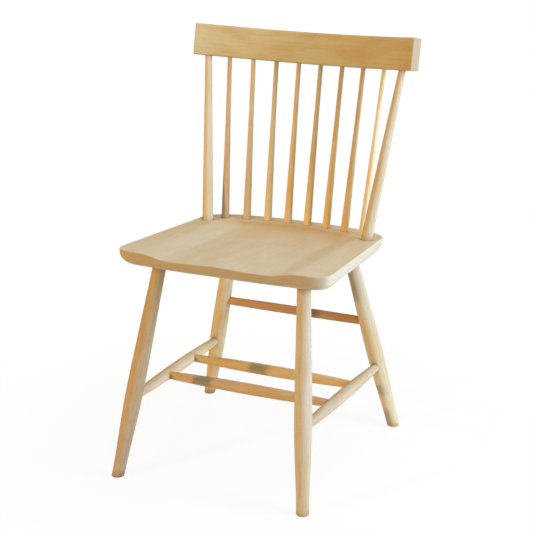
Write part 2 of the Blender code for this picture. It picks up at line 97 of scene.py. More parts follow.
REAR_STRETCHER_RADIUS = 0.0092
REAR_STRETCHER_END_RADIUS = 0.0083
TENON_PAST_CENTRE = 0.002
SPINDLE_COUNT = 8
SPINDLE_SETBACK = 0.0297
SPINDLE_ARC_SAG = 0.027
SPINDLE_SEAT_SPREAD = 0.3035
SPINDLE_CREST_INSET = 0.066
SPINDLE_SEAT_RADIUS = 0.0081
SPINDLE_WAIST_RADIUS = 0.0049
SPINDLE_CREST_RADIUS = 0.0045
SPINDLE_WAIST_HEIGHT = 0.215
POST_SETBACK = 0.0943
POST_SEAT_SPREAD = 0.348
POST_CREST_INSET = 0.0245
POST_SEAT_RADIUS = 0.0112
POST_CREST_RADIUS = 0.0069
SPINDLE_COVER = 0.010
CREST_TENON = 0.024
TENON_CHAMFER = 0.001
BACK_HEIGHT = 0.3198
BACK_RAKE = math.radians(10.1)
CREST_WIDTH = 0.467
CREST_HEIGHT = 0.0629
CREST_THICKNESS = 0.0222
CREST_SAG = 0.051
CREST_LEAN = math.radians(13.5)
CREST_FRONT_ROUND = 0.005
CREST_EDGE_ROUND = 0.0025
CREST_END_ROUND = 0.0018

# Fineness of the curves, where the part's source has plain facets
SEAT_POINTS = 240
SADDLE_RINGS = 56
CURVE_STEPS = 48
TURNED_SIDES = 64
LEG_RINGS = 20
FOOT_RINGS = 2  # left out at the foot, which is trimmed and eased there
STRETCHER_RINGS = 25
CREST_STEPS = 72
ARC_STEPS = 13
EDGE_SEGMENTS = 4
SHARP_EDGE = math.radians(38)
CUTTER_SPARE = 0.030
MERGE = 0.00001

SIDES = {"left": -1, "right": 1}


def ease(share):
    """S-shaped step from 0 to 1."""
    share = min(max(share, 0.0), 1.0)
    return share * share * (3.0 - 2.0 * share)


def brink(share):
    """Step from 0 to 1 that starts at a sharp edge and ends level."""
    share = min(max(share, 0.0), 1.0)
    return share * (2.0 - share)


def spread(first, last, count):
    """Evenly spaced values, both ends included."""
    return [first + (last - first) * i / (count - 1) for i in range(count)]


# Frames that the pieces are placed in, before the chair is centred on its origin

SEAT_FRAME = Matrix.Translation(
    (0.0, 0.0, SEAT_HEIGHT - math.sin(SEAT_FALL) * (SEAT_DEPTH / 2 - SEAT_FRONT_BOW))
) @ Matrix.Rotation(-SEAT_FALL, 4, "X")
SEAT_UP = SEAT_FRAME.to_3x3() @ Vector((0.0, 0.0, 1.0))
SEAT_FRONT = -SEAT_DEPTH / 2
SEAT_REAR = SEAT_DEPTH / 2


def seat_point(x, y, depth=0.0):
    """A point of the chair from a place on the seat and a depth below its rim."""
    return SEAT_FRAME @ Vector((x, y, -depth))


def crest_frame():
    """Local origin at the middle of the crest's front bottom edge, X along it and Z up its face."""
    middle = seat_point(0.0, SEAT_REAR - SPINDLE_SETBACK)
    middle += Vector((0.0, math.tan(BACK_RAKE) * BACK_HEIGHT, BACK_HEIGHT))
    turn = Matrix.Rotation(-CREST_LEAN, 4, "X")
    return Matrix.Translation(middle) @ turn @ Matrix.Translation((0.0, -CREST_THICKNESS / 2, 0.0))


CREST_FRAME = crest_frame()
SPINDLE_CREST_SPREAD = CREST_WIDTH - 2 * SPINDLE_CREST_INSET
POST_CREST_SPREAD = CREST_WIDTH - 2 * POST_CREST_INSET
CREST_RADIUS = ((CREST_WIDTH / 2) ** 2 + CREST_SAG**2) / (2 * CREST_SAG)


def crest_socket(x):
    """Middle of the crest's underside, a distance x from its centre line."""
    radius = CREST_RADIUS + CREST_THICKNESS / 2
    return CREST_FRAME @ Vector((x, math.sqrt(radius * radius - x * x) - CREST_RADIUS, 0.0))


# Making of the meshes


def add_object(name, bm):
    """Turns a finished bmesh into an object of the scene."""
    mesh = bpy.data.meshes.new(name)
    bm.to_mesh(mesh)
    bm.free()
    obj = bpy.data.objects.new(name, mesh)
    bpy.context.scene.collection.objects.link(obj)
    return obj


def cut(piece, cutter):
    """Takes the cutter's shape out of the piece."""
    modifier = piece.modifiers.new(cutter.name, "BOOLEAN")
    modifier.operation = "DIFFERENCE"
    modifier.solver = "EXACT"
    modifier.object = cutter


def ease_edges(piece, radius):
    """Rounds the piece's sharp edges."""
    edge = piece.modifiers.new("eased_edges", "BEVEL")
    edge.width = radius
    edge.segments = EDGE_SEGMENTS
    edge.limit_method = "ANGLE"
    edge.angle_limit = SHARP_EDGE


def bore(piece, tenons):
    """Blind sockets for tenons, each given as (mouth, end, radius), with the fit gap all round."""
    bm = bmesh.new()
    for mouth, end, radius in tenons:
        along = (end - mouth).normalized()
        start = mouth - along * CUTTER_SPARE
        stop = end + along * FIT_GAP
        across_corners = (radius + FIT_GAP) / math.cos(math.pi / TURNED_SIDES)
        turn = along.to_track_quat("Z", "Y").to_matrix().to_4x4()
        bmesh.ops.create_cone(
            bm,
            cap_ends=True,
            segments=TURNED_SIDES,
            radius1=across_corners,
            radius2=across_corners,
            depth=(stop - start).length,
            matrix=Matrix.Translation((start + stop) / 2) @ turn,
        )
    cut(piece, add_object(piece.name + "_sockets", bm))


def settle(piece):
    """Makes the modifiers' result the piece's own mesh, smooth but for its sharp edges."""
    cutters = [modifier.object for modifier in piece.modifiers if modifier.type == "BOOLEAN"]
    shown = piece.evaluated_get(bpy.context.evaluated_depsgraph_get())
    rough = piece.data
    piece.data = bpy.data.meshes.new_from_object(shown)
    piece.modifiers.clear()
    bpy.data.meshes.remove(rough)
    piece.data.name = piece.name
    piece.data.shade_smooth()
    piece.data.set_sharp_from_angle(angle=SHARP_EDGE)
    return [cutter for cutter in cutters if cutter]


def turned(name, start, end, profile):
    """A turned piece from start to end, its own Z along it. The profile is (distance, radius) pairs."""
    length = (end - start).length
    outline = [(length, 0.0)] + list(reversed(profile)) + [(0.0, 0.0)]
    bm = bmesh.new()
    points = [bm.verts.new((radius, 0.0, along)) for along, radius in outline]
    for upper, lower in zip(points, points[1:]):
        bm.edges.new((upper, lower))
    piece = add_object(name, bm)
    turn = (end - start).to_track_quat("Z", "Y").to_matrix().to_4x4()
    piece.matrix_world = Matrix.Translation(start) @ turn
    screw = piece.modifiers.new("turning", "SCREW")
    screw.axis = "Z"
    screw.steps = TURNED_SIDES
    screw.render_steps = TURNED_SIDES
    screw.use_merge_vertices = True
    screw.merge_threshold = MERGE
    screw.use_smooth_shade = True
    return piece


# Seat


def corner_curve(before, corner, after):
    """Rounded corner that leaves and joins its edges along their own directions."""
    curve = []
    for share in spread(0.0, 1.0, CURVE_STEPS):
        first = before.lerp(corner, share)
        second = corner.lerp(after, share)
        curve.append(first.lerp(second, share))
    return curve


def evenly_spaced(line, pieces):
    """The same line with equal steps along it."""
    lengths = [0.0]
    for start, end in zip(line, line[1:]):
        lengths.append(lengths[-1] + (end - start).length)
    points = []
    step = 0
    for target in spread(0.0, lengths[-1], pieces + 1):
        while step < len(line) - 2 and lengths[step + 1] < target:
            step += 1
        share = (target - lengths[step]) / (lengths[step + 1] - lengths[step])
        points.append(line[step].lerp(line[step + 1], share))
    return points


def seat_outline():
    """Points round the seat in its own plane, from the middle of the front edge to the right."""
    front_half = SEAT_FRONT_WIDTH / 2
    rear_half = SEAT_REAR_WIDTH / 2

    def front_edge(x):
        return Vector((x, SEAT_FRONT + SEAT_FRONT_BOW * (x / front_half) ** 2))

    def rear_edge(x):
        return Vector((x, SEAT_REAR - SEAT_REAR_BOW * (x / rear_half) ** 2))

    front_corner = front_edge(front_half)
    rear_corner = rear_edge(rear_half)
    side = (rear_corner - front_corner).normalized() * SEAT_SIDE_CORNER
    front_end = front_half - SEAT_FRONT_CORNER
    rear_end = rear_half - SEAT_REAR_CORNER
    half = [front_edge(x) for x in spread(0.0, front_end, CURVE_STEPS)]
    half += corner_curve(half[-1], front_corner, front_corner + side)[1:]
    half += corner_curve(rear_corner - side, rear_corner, rear_edge(rear_end))
    half += [rear_edge(x) for x in spread(rear_end, 0.0, CURVE_STEPS)[1:]]
    right = evenly_spaced(half, SEAT_POINTS // 2)
    left = [Vector((-point.x, point.y)) for point in reversed(right[1:-1])]
    return right + left


def spindle_arc(x):
    """Line of the spindles on the seat, bowed to the back."""
    return SEAT_REAR - SPINDLE_SETBACK - SPINDLE_ARC_SAG * (x / (SPINDLE_SEAT_SPREAD / 2)) ** 2


def saddle_depth(x, y):
    """Depth of the carving: open in front, ridged between the thighs, walled at the sides and rear."""
    from_side = (SADDLE_WIDTH / 2 - abs(x)) / SADDLE_SIDE_WALL
    from_deck = (spindle_arc(x) - SADDLE_DECK - y) / SADDLE_REAR_WALL
    from_front = y - SEAT_FRONT
    fall = ease((from_front - SADDLE_FALL_START) / SADDLE_FALL_LENGTH)
    floor = SADDLE_FRONT_DEPTH + (SADDLE_DEPTH - SADDLE_FRONT_DEPTH) * fall
    ridge = math.exp(-((x / POMMEL_WIDTH) ** 2)) * ease(1.0 - from_front / POMMEL_LENGTH)
    return max(floor * ease(from_side) * brink(from_deck) - POMMEL_RISE * ridge, 0.0)


def drawn_in(outline, side, front, rear):
    """The outline with its sides, front and rear drawn in by these distances."""
    ring = []
    for point in outline:
        x = point.x * (1.0 - side / (SEAT_FRONT_WIDTH / 2))
        y = point.y * (1.0 - (front if point.y < 0.0 else rear) / (SEAT_DEPTH / 2))
        ring.append(Vector((x, y)))
    return ring


def seat_rings():
    """Rings of the seat's surface, from the middle of the saddle out, over the edge and under."""
    outline = seat_outline()
    top = drawn_in(outline, SEAT_TOP_ROUND, SEAT_TOP_ROUND, SEAT_TOP_ROUND)
    rings = []
    for share in spread(0.0, 1.0, SADDLE_RINGS + 1)[1:]:
        flat = [point * share for point in top]
        rings.append([(p.x, p.y, -saddle_depth(p.x, p.y)) for p in flat])
    rim = [-saddle_depth(p.x, p.y) for p in top]
    for angle in spread(0.0, math.pi / 2, ARC_STEPS)[1:]:
        inset = SEAT_TOP_ROUND * (1.0 - math.sin(angle))
        drop = SEAT_TOP_ROUND * (1.0 - math.cos(angle))
        flat = drawn_in(outline, inset, inset, inset)
        rings.append([(p.x, p.y, z - drop) for p, z in zip(flat, rim)])
    edge = [z - SEAT_TOP_ROUND - SEAT_EDGE_LAND for z in rim]
    for angle in spread(0.0, math.pi / 2, ARC_STEPS + 1):
        inset = 1.0 - math.cos(angle)
        flat = drawn_in(outline, UNDERCUT_SIDE * inset, UNDERCUT_FRONT * inset, UNDERCUT_REAR * inset)
        share = math.sin(angle)
        rings.append([(p.x, p.y, z - (SEAT_THICKNESS + z) * share) for p, z in zip(flat, edge)])
    return rings


def make_seat():
    """Loft of the rings, closed by a point in the saddle and by the flat underside."""
    bm = bmesh.new()
    middle = bm.verts.new((0.0, 0.0, -saddle_depth(0.0, 0.0)))
    rings = [[bm.verts.new(point) for point in ring] for ring in seat_rings()]
    for i in range(SEAT_POINTS):
        j = (i + 1) % SEAT_POINTS
        bm.faces.new((middle, rings[0][i], rings[0][j]))
        for inner, outer in zip(rings, rings[1:]):
            bm.faces.new((inner[i], outer[i], outer[j], inner[j]))
    bm.faces.new(list(reversed(rings[-1])))
    seat = add_object("saddle_seat", bm)
    seat.matrix_world = SEAT_FRAME
    return seat


# Legs


class Leg:
    """One leg's axis: the foot on the floor, the place where it enters the seat, and its tenon's end."""

    def __init__(self, x, y, lean):
        self.entry = seat_point(x, y, SEAT_THICKNESS)
        self.up = lean.normalized()
        self.foot = self.at_height(0.0)
        tenon = SEAT_THICKNESS - SADDLE_DEPTH - LEG_COVER
        self.end = self.entry + self.up * (tenon / self.up.dot(SEAT_UP))

    def at_height(self, height):
        """The point of the axis at a height above the floor."""
        return self.entry + self.up * ((height - self.entry.z) / self.up.z)


def leg_radius(along, entry):
    """Radius at a distance up the leg: swelling from the foot, then tapering to the seat."""
    if along < LEG_SWELL_HEIGHT:
        return LEG_FOOT_RADIUS + (LEG_SWELL_RADIUS - LEG_FOOT_RADIUS) * ease(along / LEG_SWELL_HEIGHT)
    share = (along - LEG_SWELL_HEIGHT) / (entry - LEG_SWELL_HEIGHT)
    return LEG_SWELL_RADIUS + (LEG_TOP_RADIUS - LEG_SWELL_RADIUS) * ease(share)


def floor_cutter():
    """Block below the floor, which trims a foot flat."""
    reach = SEAT_FRONT_WIDTH + SEAT_DEPTH + SEAT_HEIGHT
    bm = bmesh.new()
    block = Matrix.Diagonal((2 * reach, 2 * reach, reach, 1.0))
    place = Matrix.Translation((0.0, 0.0, -reach / 2))
    bmesh.ops.create_cube(bm, size=1.0, matrix=place @ block)
    return add_object("floor_trim", bm)


def make_leg(name, leg):
    """Turned from below the floor to its tenon's end, then trimmed flat at the foot."""
    spare = (leg.foot - leg.at_height(-CUTTER_SPARE)).length
    start = leg.foot - leg.up * spare
    entry = (leg.entry - leg.foot).length
    heights = spread(0.0, LEG_SWELL_HEIGHT, LEG_RINGS)[FOOT_RINGS:]
    heights += spread(LEG_SWELL_HEIGHT, entry, LEG_RINGS)[1:]
    profile = [(0.0, LEG_FOOT_RADIUS)]
    profile += [(spare + along, leg_radius(along, entry)) for along in heights]
    profile.append(((leg.end - start).length, LEG_TOP_RADIUS))
    piece = turned(name, start, leg.end, profile)
    cut(piece, floor_cutter())
    ease_edges(piece, FOOT_ROUND)
    return piece


def leg_axes():
    """The four legs by place, splayed to the sides and raked to the front and rear."""
    legs = {}
    for name, side in SIDES.items():
        front = Vector((-side * math.tan(FRONT_LEG_SPLAY), math.tan(FRONT_LEG_RAKE), 1.0))
        rear = Vector((-side * math.tan(REAR_LEG_SPLAY), -math.tan(REAR_LEG_RAKE), 1.0))
        legs["front_" + name] = Leg(side * FRONT_LEG_SPREAD / 2, SEAT_FRONT + FRONT_LEG_SETBACK, front)
        legs["rear_" + name] = Leg(side * REAR_LEG_SPREAD / 2, SEAT_REAR - REAR_LEG_SETBACK, rear)
    return legs


# Stretchers


class Stretcher:
    """A stretcher between two piece centres, with a tenon that runs a little past each centre."""

    def __init__(self, first, second, middle_radius, end_radius):
        self.along = (second - first).normalized()
        self.first = first
        self.second = second
        self.start = first - self.along * TENON_PAST_CENTRE
        self.end = second + self.along * TENON_PAST_CENTRE
        self.middle_radius = middle_radius
        self.end_radius = end_radius

    def profile(self, inset):
        """Full at the middle, thinner to where it enters the two pieces, then straight tenons."""
        length = (self.end - self.start).length
        enters = TENON_PAST_CENTRE + inset
        leaves = length - TENON_PAST_CENTRE - inset
        points = [(0.0, self.end_radius)]
        for share in spread(-1.0, 1.0, STRETCHER_RINGS):
            along = enters + (leaves - enters) * (share + 1.0) / 2
            radius = self.middle_radius + (self.end_radius - self.middle_radius) * share * share
            points.append((along, radius))
        points.append((length, self.end_radius))
        return points

    def tenons(self):
        """The socket for each end, as (mouth, end, radius)."""
        middle = (self.first + self.second) / 2
        return [(middle, self.start, self.end_radius), (middle, self.end, self.end_radius)]


def side_stretcher(front, rear):
    """Between a front leg and the rear leg behind it."""
    first = front.at_height(SIDE_STRETCHER_FRONT_HEIGHT)
    second = rear.at_height(SIDE_STRETCHER_REAR_HEIGHT)
    return Stretcher(first, second, SIDE_STRETCHER_RADIUS, SIDE_STRETCHER_END_RADIUS)


def cross_stretcher(left, right, setback):
    """Between the two side stretchers, at a distance from their front ends."""
    first = left.first + left.along * setback
    second = right.first + right.along * setback
    return Stretcher(first, second, CROSS_STRETCHER_RADIUS, CROSS_STRETCHER_END_RADIUS)


def rear_stretcher(left, right):
    """Between the two rear legs."""
    first = left.at_height(REAR_STRETCHER_HEIGHT)
    second = right.at_height(REAR_STRETCHER_HEIGHT)
    return Stretcher(first, second, REAR_STRETCHER_RADIUS, REAR_STRETCHER_END_RADIUS)


def make_underframe(legs):
    """Legs and stretchers by node, each bored for what enters it, and the rear stretcher's depth."""
    left = side_stretcher(legs["front_left"], legs["rear_left"])
    right = side_stretcher(legs["front_right"], legs["rear_right"])
    front_cross = cross_stretcher(left, right, CROSS_STRETCHER_FRONT_SETBACK)
    rear_cross = cross_stretcher(left, right, CROSS_STRETCHER_REAR_SETBACK)
    rear = rear_stretcher(legs["rear_left"], legs["rear_right"])
    entering = {
        "front_left": [left.tenons()[0]],
        "front_right": [right.tenons()[0]],
        "rear_left": [left.tenons()[1], rear.tenons()[0]],
        "rear_right": [right.tenons()[1], rear.tenons()[1]],
    }
    pieces = {}
    for name, leg in legs.items():
        pieces["leg_" + name] = make_leg("turned_leg_" + name, leg)
        bore(pieces["leg_" + name], entering[name])
    stretchers = {
        "side_stretcher_left": (left, LEG_SWELL_RADIUS),
        "side_stretcher_right": (right, LEG_SWELL_RADIUS),
        "cross_stretcher_front": (front_cross, SIDE_STRETCHER_RADIUS),
        "cross_stretcher_rear": (rear_cross, SIDE_STRETCHER_RADIUS),
        "rear_stretcher": (rear, LEG_SWELL_RADIUS),
    }
    for name, (stretcher, inset) in stretchers.items():
        pieces[name] = turned("turned_" + name, stretcher.start, stretcher.end, stretcher.profile(inset))
    for end, name in enumerate(("side_stretcher_left", "side_stretcher_right")):
        bore(pieces[name], [front_cross.tenons()[end], rear_cross.tenons()[end]])
    return pieces, rear.first.y


# Back


class Upright:
    """A spindle or post: where it leaves the seat and enters the crest, with a tenon at each end."""

    def __init__(self, seat_x, seat_y, crest_x, seat_radius, crest_radius):
        self.foot = seat_point(seat_x, seat_y)
        self.head = crest_socket(crest_x)
        self.up = (self.head - self.foot).normalized()
        self.start = self.foot - self.up * ((SEAT_THICKNESS - SPINDLE_COVER) / self.up.dot(SEAT_UP))
        self.end = self.head + self.up * CREST_TENON
        self.seat_radius = seat_radius
        self.crest_radius = crest_radius

    def profile(self, waists):
        """Straight tenons, and between them a taper through any waists, given as (height, radius)."""
        foot = (self.foot - self.start).length
        head = (self.head - self.start).length
        end = (self.end - self.start).length
        points = [(0.0, self.seat_radius - TENON_CHAMFER), (TENON_CHAMFER, self.seat_radius)]
        points.append((foot, self.seat_radius))
        points += [(foot + height, radius) for height, radius in waists]
        points += [(head, self.crest_radius), (end - TENON_CHAMFER, self.crest_radius)]
        points.append((end, self.crest_radius - TENON_CHAMFER))
        return points


def make_back():
    """Spindles and posts by node, and the sockets that they need in the seat and in the crest."""
    pieces = {}
    uprights = []
    places = zip(
        spread(-SPINDLE_SEAT_SPREAD / 2, SPINDLE_SEAT_SPREAD / 2, SPINDLE_COUNT),
        spread(-SPINDLE_CREST_SPREAD / 2, SPINDLE_CREST_SPREAD / 2, SPINDLE_COUNT),
    )
    for number, (seat_x, crest_x) in enumerate(places, start=1):
        spindle = Upright(seat_x, spindle_arc(seat_x), crest_x, SPINDLE_SEAT_RADIUS, SPINDLE_CREST_RADIUS)
        profile = spindle.profile([(SPINDLE_WAIST_HEIGHT, SPINDLE_WAIST_RADIUS)])
        name = f"spindle_{number}"
        pieces[name] = turned("shaved_" + name, spindle.start, spindle.end, profile)
        uprights.append(spindle)
    for name, side in SIDES.items():
        seat_x = side * POST_SEAT_SPREAD / 2
        crest_x = side * POST_CREST_SPREAD / 2
        post = Upright(seat_x, SEAT_REAR - POST_SETBACK, crest_x, POST_SEAT_RADIUS, POST_CREST_RADIUS)
        pieces["back_post_" + name] = turned("turned_post_" + name, post.start, post.end, post.profile([]))
        uprights.append(post)
    in_seat = [(upright.foot, upright.start, upright.seat_radius) for upright in uprights]
    in_crest = [(upright.head, upright.end, upright.crest_radius) for upright in uprights]
    return pieces, in_seat, in_crest


def crest_section():
    """Upright section of the crest as (depth, height) points, with rounded edges."""
    back = CREST_THICKNESS
    top = CREST_HEIGHT
    small = CREST_EDGE_ROUND
    large = CREST_FRONT_ROUND
    corners = [
        (small, small, small, math.pi),
        (back - small, small, small, 1.5 * math.pi),
        (back - small, top - small, small, 0.0),
        (large, top - large, large, 0.5 * math.pi),
    ]
    points = []
    for depth, height, radius, first in corners:
        for angle in spread(first, first + math.pi / 2, ARC_STEPS):
            points.append((depth + radius * math.cos(angle), height + radius * math.sin(angle)))
    return points


def make_crest():
    """The section swept along the bend, with square ends that are eased at their edges."""
    half_angle = math.asin(CREST_WIDTH / 2 / CREST_RADIUS)
    bm = bmesh.new()
    section = [bm.verts.new((0.0, depth, height)) for depth, height in crest_section()]
    for i, vert in enumerate(section):
        bm.edges.new((vert, section[(i + 1) % len(section)]))
    centre = Vector((0.0, -CREST_RADIUS, 0.0))
    bmesh.ops.rotate(bm, verts=bm.verts, cent=centre, matrix=Matrix.Rotation(half_angle, 3, "Z"))
    bmesh.ops.spin(
        bm,
        geom=bm.verts[:] + bm.edges[:],
        cent=centre,
        axis=(0.0, 0.0, 1.0),
        angle=-2 * half_angle,
        steps=CREST_STEPS,
    )
    bmesh.ops.holes_fill(bm, edges=bm.edges)
    bmesh.ops.recalc_face_normals(bm, faces=bm.faces)
    crest = add_object("bent_crest_rail", bm)
    crest.matrix_world = CREST_FRAME
    ease_edges(crest, CREST_END_ROUND)
    return crest


# Wood

# Marks in the wood as (size across the fibres, size along them, fineness). Beech fibres are about 0.02 mm
# wide, its ray flecks 0.1 to 0.3 mm and its lines of figure about 1 mm. All are drawn coarser, so that they
# show.
MARKS = {
    "streak": (0.0011, 0.055, 3.0),
    "fleck": (0.0012, 0.0075, 1.0),
    "figure": (0.0034, 0.120, 3.0),
    "drift": (0.034, 0.090, 3.0),
    "bend": (0.030, 0.260, 2.0),
}
MARK_ROUGHNESS = 0.55
RING_WIDTH = 0.0028  # growth of a year
RING_BEND = 2.6  # how many rings the grain wanders
RING_STOP = 0.94  # share of the year at which the dark late wood ends
PITH_PLACE = (0.052, 0.031, 0.0)  # the heart of the tree lies outside the blank
WOOD_IOR = 1.50
WOOD_SHEEN = 0.25  # bare fibres mirror less than a smooth film would, which is 0.5
WOOD_ROUGHNESS = 0.72
STREAK_ROUGHER = 0.07  # in the dark streaks, which lie a little low
GROUND_SMOOTHER = 0.05  # between them, where the sanding rubs
STREAK_VALUE = 0.25  # of the noise in a dark streak
GROUND_VALUE = 0.75  # of the noise between streaks
PORE_DEPTH = 0.00012
PORE_STRENGTH = 0.3
FLECK_RELIEF = -0.6  # flecks lie a little low
SHADE_SAMPLES = 8


def linear(code):
    """An sRGB hex colour in linear light, with full alpha."""
    values = [int(code[i : i + 2], 16) / 255 for i in (0, 2, 4)]
    light = [v / 12.92 if v <= 0.04045 else ((v + 0.055) / 1.055) ** 2.4 for v in values]
    return (*light, 1.0)


def add_node(tree, kind, inputs, output=0, **settings):
    """Adds a shader node and gives one of its outputs. Inputs are values or other nodes' outputs."""
    node = tree.nodes.new("ShaderNode" + kind)
    for name, value in settings.items():
        setattr(node, name, value)
    for name, value in inputs.items():
        if isinstance(value, bpy.types.NodeSocket):
            tree.links.new(value, node.inputs[name])
        else:
            node.inputs[name].default_value = value
    return node.outputs[output] if node.outputs else node


def wood(name, early, late, fleck, warm, end, rings, lines, painted_shade_reach):
    """Pale hardwood: growth rings, fibre streaks, ray flecks, slow drifts of tone, darker end grain, and
    painted shade where parts meet and close the wood in.

    Rings and lines say how strongly those marks show, and the last argument how far from a joint the
    painted shade reaches.
    """
    material = bpy.data.materials.new(name)
    material.use_nodes = True
    tree = material.node_tree
    tree.nodes.clear()
    place = add_node(tree, "Attribute", {}, "Vector", attribute_name="grain")
    fibre = add_node(tree, "Attribute", {}, "Vector", attribute_name="fibre")
    board_tone_and_painted_light = add_node(tree, "Attribute", {}, "Color", attribute_name="board_tone_and_painted_light")
    normal = add_node(tree, "NewGeometry", {}, "Normal")
    edge = add_node(tree, "NewGeometry", {}, "Pointiness")
    # Painted shade: the less open the wood is round a point, near joints and under the seat, the darker it
    # is painted
    inputs = {"Distance": painted_shade_reach}
    painted_joint_shade = add_node(tree, "AmbientOcclusion", inputs, "AO", samples=SHADE_SAMPLES)

    values = {"edge": edge, "painted_joint_shade": painted_joint_shade}
    for mark, (across, along, fineness) in MARKS.items():
        sizes = (1.0 / across, 1.0 / across, 1.0 / along)
        spot = add_node(tree, "VectorMath", {0: place, 1: sizes}, operation="MULTIPLY")
        inputs = {"Vector": spot, "Scale": 1.0, "Detail": fineness, "Roughness": MARK_ROUGHNESS}
        values[mark] = add_node(tree, "TexNoise", inputs, "Fac")

    # Rings round the heart of the tree, wandering a little: pale early wood, slowly darker, then a step
    flat = add_node(tree, "VectorMath", {0: place, 1: (1.0, 1.0, 0.0)}, operation="MULTIPLY")
    away = add_node(tree, "VectorMath", {0: flat, 1: PITH_PLACE}, "Value", operation="DISTANCE")
    years = add_node(tree, "Math", {0: away, 1: RING_WIDTH}, operation="DIVIDE")
    inputs = {0: values["bend"], 1: RING_BEND, 2: years}
    years = add_node(tree, "Math", inputs, operation="MULTIPLY_ADD")
    season = add_node(tree, "Math", {0: years}, operation="FRACT")
    inputs = {"Value": season, "From Min": 1.0, "From Max": RING_STOP, "To Max": rings}
    dying = add_node(tree, "MapRange", inputs)
    values["ring"] = add_node(tree, "Math", {0: season, 1: dying}, operation="MULTIPLY")

    # The surface is end grain where it faces along the fibres
    facing = add_node(tree, "VectorMath", {0: normal, 1: fibre}, "Value", operation="DOT_PRODUCT")
    values["end"] = add_node(tree, "Math", {0: facing}, operation="ABSOLUTE")

    # Tones laid over the early wood: what shows it, where it starts, where it is full, how full, its colour
    tones = (
        ("ring", 0.30, 0.95, 0.80, late),
        ("drift", 0.38, 0.64, 0.60, warm),
        ("figure", 0.60, 0.32, 0.42 * lines, late),
        ("streak", 0.62, 0.30, 0.24 * lines, late),
        ("fleck", 0.62, 0.72, 0.28, fleck),
        ("end", 0.06, 0.85, 0.85, end),
        # Paler along sharp edges: partly wear, partly a painted highlight where the edges catch the light
        ("edge", 0.505, 0.56, 0.45, early),
        # Painted shade where parts meet, in the fleck colour
        ("painted_joint_shade", 0.88, 0.45, 0.80, fleck),
    )
    colour = linear(early)
    for value, start, full, most, tone in tones:
        inputs = {"Value": values[value], "From Min": start, "From Max": full, "To Max": most}
        share = add_node(tree, "MapRange", inputs, interpolation_type="SMOOTHSTEP")
        colour = add_node(tree, "Mix", {0: share, 6: colour, 7: linear(tone)}, 2, data_type="RGBA")
    # Each piece's tone laid over: its board's own tone with painted light and shade
    inputs = {0: 1.0, 6: colour, 7: board_tone_and_painted_light}
    colour = add_node(tree, "Mix", inputs, 2, data_type="RGBA", blend_type="MULTIPLY")

    # Dull and a little uneven, with shallow pores
    inputs = {"Value": values["streak"], "From Min": STREAK_VALUE, "From Max": GROUND_VALUE}
    inputs |= {"To Min": WOOD_ROUGHNESS + STREAK_ROUGHER, "To Max": WOOD_ROUGHNESS - GROUND_SMOOTHER}
    matt = add_node(tree, "MapRange", inputs)
    inputs = {0: values["fleck"], 1: FLECK_RELIEF, 2: values["streak"]}
    relief = add_node(tree, "Math", inputs, operation="MULTIPLY_ADD")
    inputs = {"Height": relief, "Strength": PORE_STRENGTH, "Distance": PORE_DEPTH}
    bump = add_node(tree, "Bump", inputs)
    inputs = {
        "Base Color": colour,
        "Roughness": matt,
        "Normal": bump,
        "IOR": WOOD_IOR,
        "Specular IOR Level": WOOD_SHEEN,
    }
    shader = add_node(tree, "BsdfPrincipled", inputs)
    add_node(tree, "OutputMaterial", {"Surface": shader})
    return material


# Beech, sanded fine and left bare. The eye gets a pale tan ground with a dull sheen, fine streaks along the
# fibres, short brown ray flecks, slow drifts to a warmer tone, and a darker, porous end grain.
# Each wood darkens near its joints as painted shade; the legs' wide reach paints the seat's shade on their
# tops.
SEAT_WOOD = wood(
    "beech_carved_and_sanded",
    early="CAC2B1",
    late="B9A485",
    fleck="997C5A",
    warm="C7B594",
    end="AC916A",
    rings=0.35,
    lines=0.55,
    painted_shade_reach=0.006,
)
LEG_WOOD = wood(
    "beech_turned_and_sanded",
    early="DDCAB4",
    late="CAAB7D",
    fleck="A47B4E",
    warm="D7B683",
    end="C4A377",
    rings=0.30,
    lines=1.0,
    painted_shade_reach=0.030,
)
SPINDLE_WOOD = wood(
    "beech_shaved_and_sanded",
    early="EDDAC4",
    late="D9B98A",
    fleck="B18656",
    warm="E7C590",
    end="D3B182",
    rings=0.30,
    lines=1.0,
    painted_shade_reach=0.003,
)
CREST_WOOD = wood(
    "beech_steam_bent_and_planed",
    early="C4B793",
    late="B79A69",
    fleck="947144",
    warm="BE9E68",
    end="B6A390",
    rings=0.55,
    lines=1.0,
    painted_shade_reach=0.006,
)

# The wood of each kind of piece, by the first word of its node, and the record's slot that it belongs to
WOODS = {
    "seat": (SEAT_WOOD, "seat_wood"),
    "leg": (LEG_WOOD, "underframe_wood"),
    "side": (LEG_WOOD, "underframe_wood"),
    "cross": (LEG_WOOD, "underframe_wood"),
    "rear": (LEG_WOOD, "underframe_wood"),
    "crest": (CREST_WOOD, "back_wood"),
    "back": (LEG_WOOD, "back_wood"),
    "spindle": (SPINDLE_WOOD, "back_wood"),
}

# Tones laid over the colours of the wood for each piece: partly the board's own tone, partly painted light
# and shade
WHITE = "FFFFFF"
BLEACHED = "F8FDF8"
SAPWOOD = "FFFFEC"
PALE = "F5F2EB"
PLAIN = "E8E8E1"
DULL = "E2E0DF"
CREAM = "E3E0CE"
TAN = "DAD4CF"
DUN = "DED2B6"
PAINTED_CREST_SHADE = "C9BFA5"
STRAW = "FFF2CB"
HONEY = "F3E6C0"
BISCUIT = "DDD1BF"
GINGER = "EBDBC4"
HEARTWOOD_AND_SEAT_SHADE = "E6C69F"
UMBER = "D1B59D"
BLOND = "FFF6E8"
WHEAT = "F5ECDA"
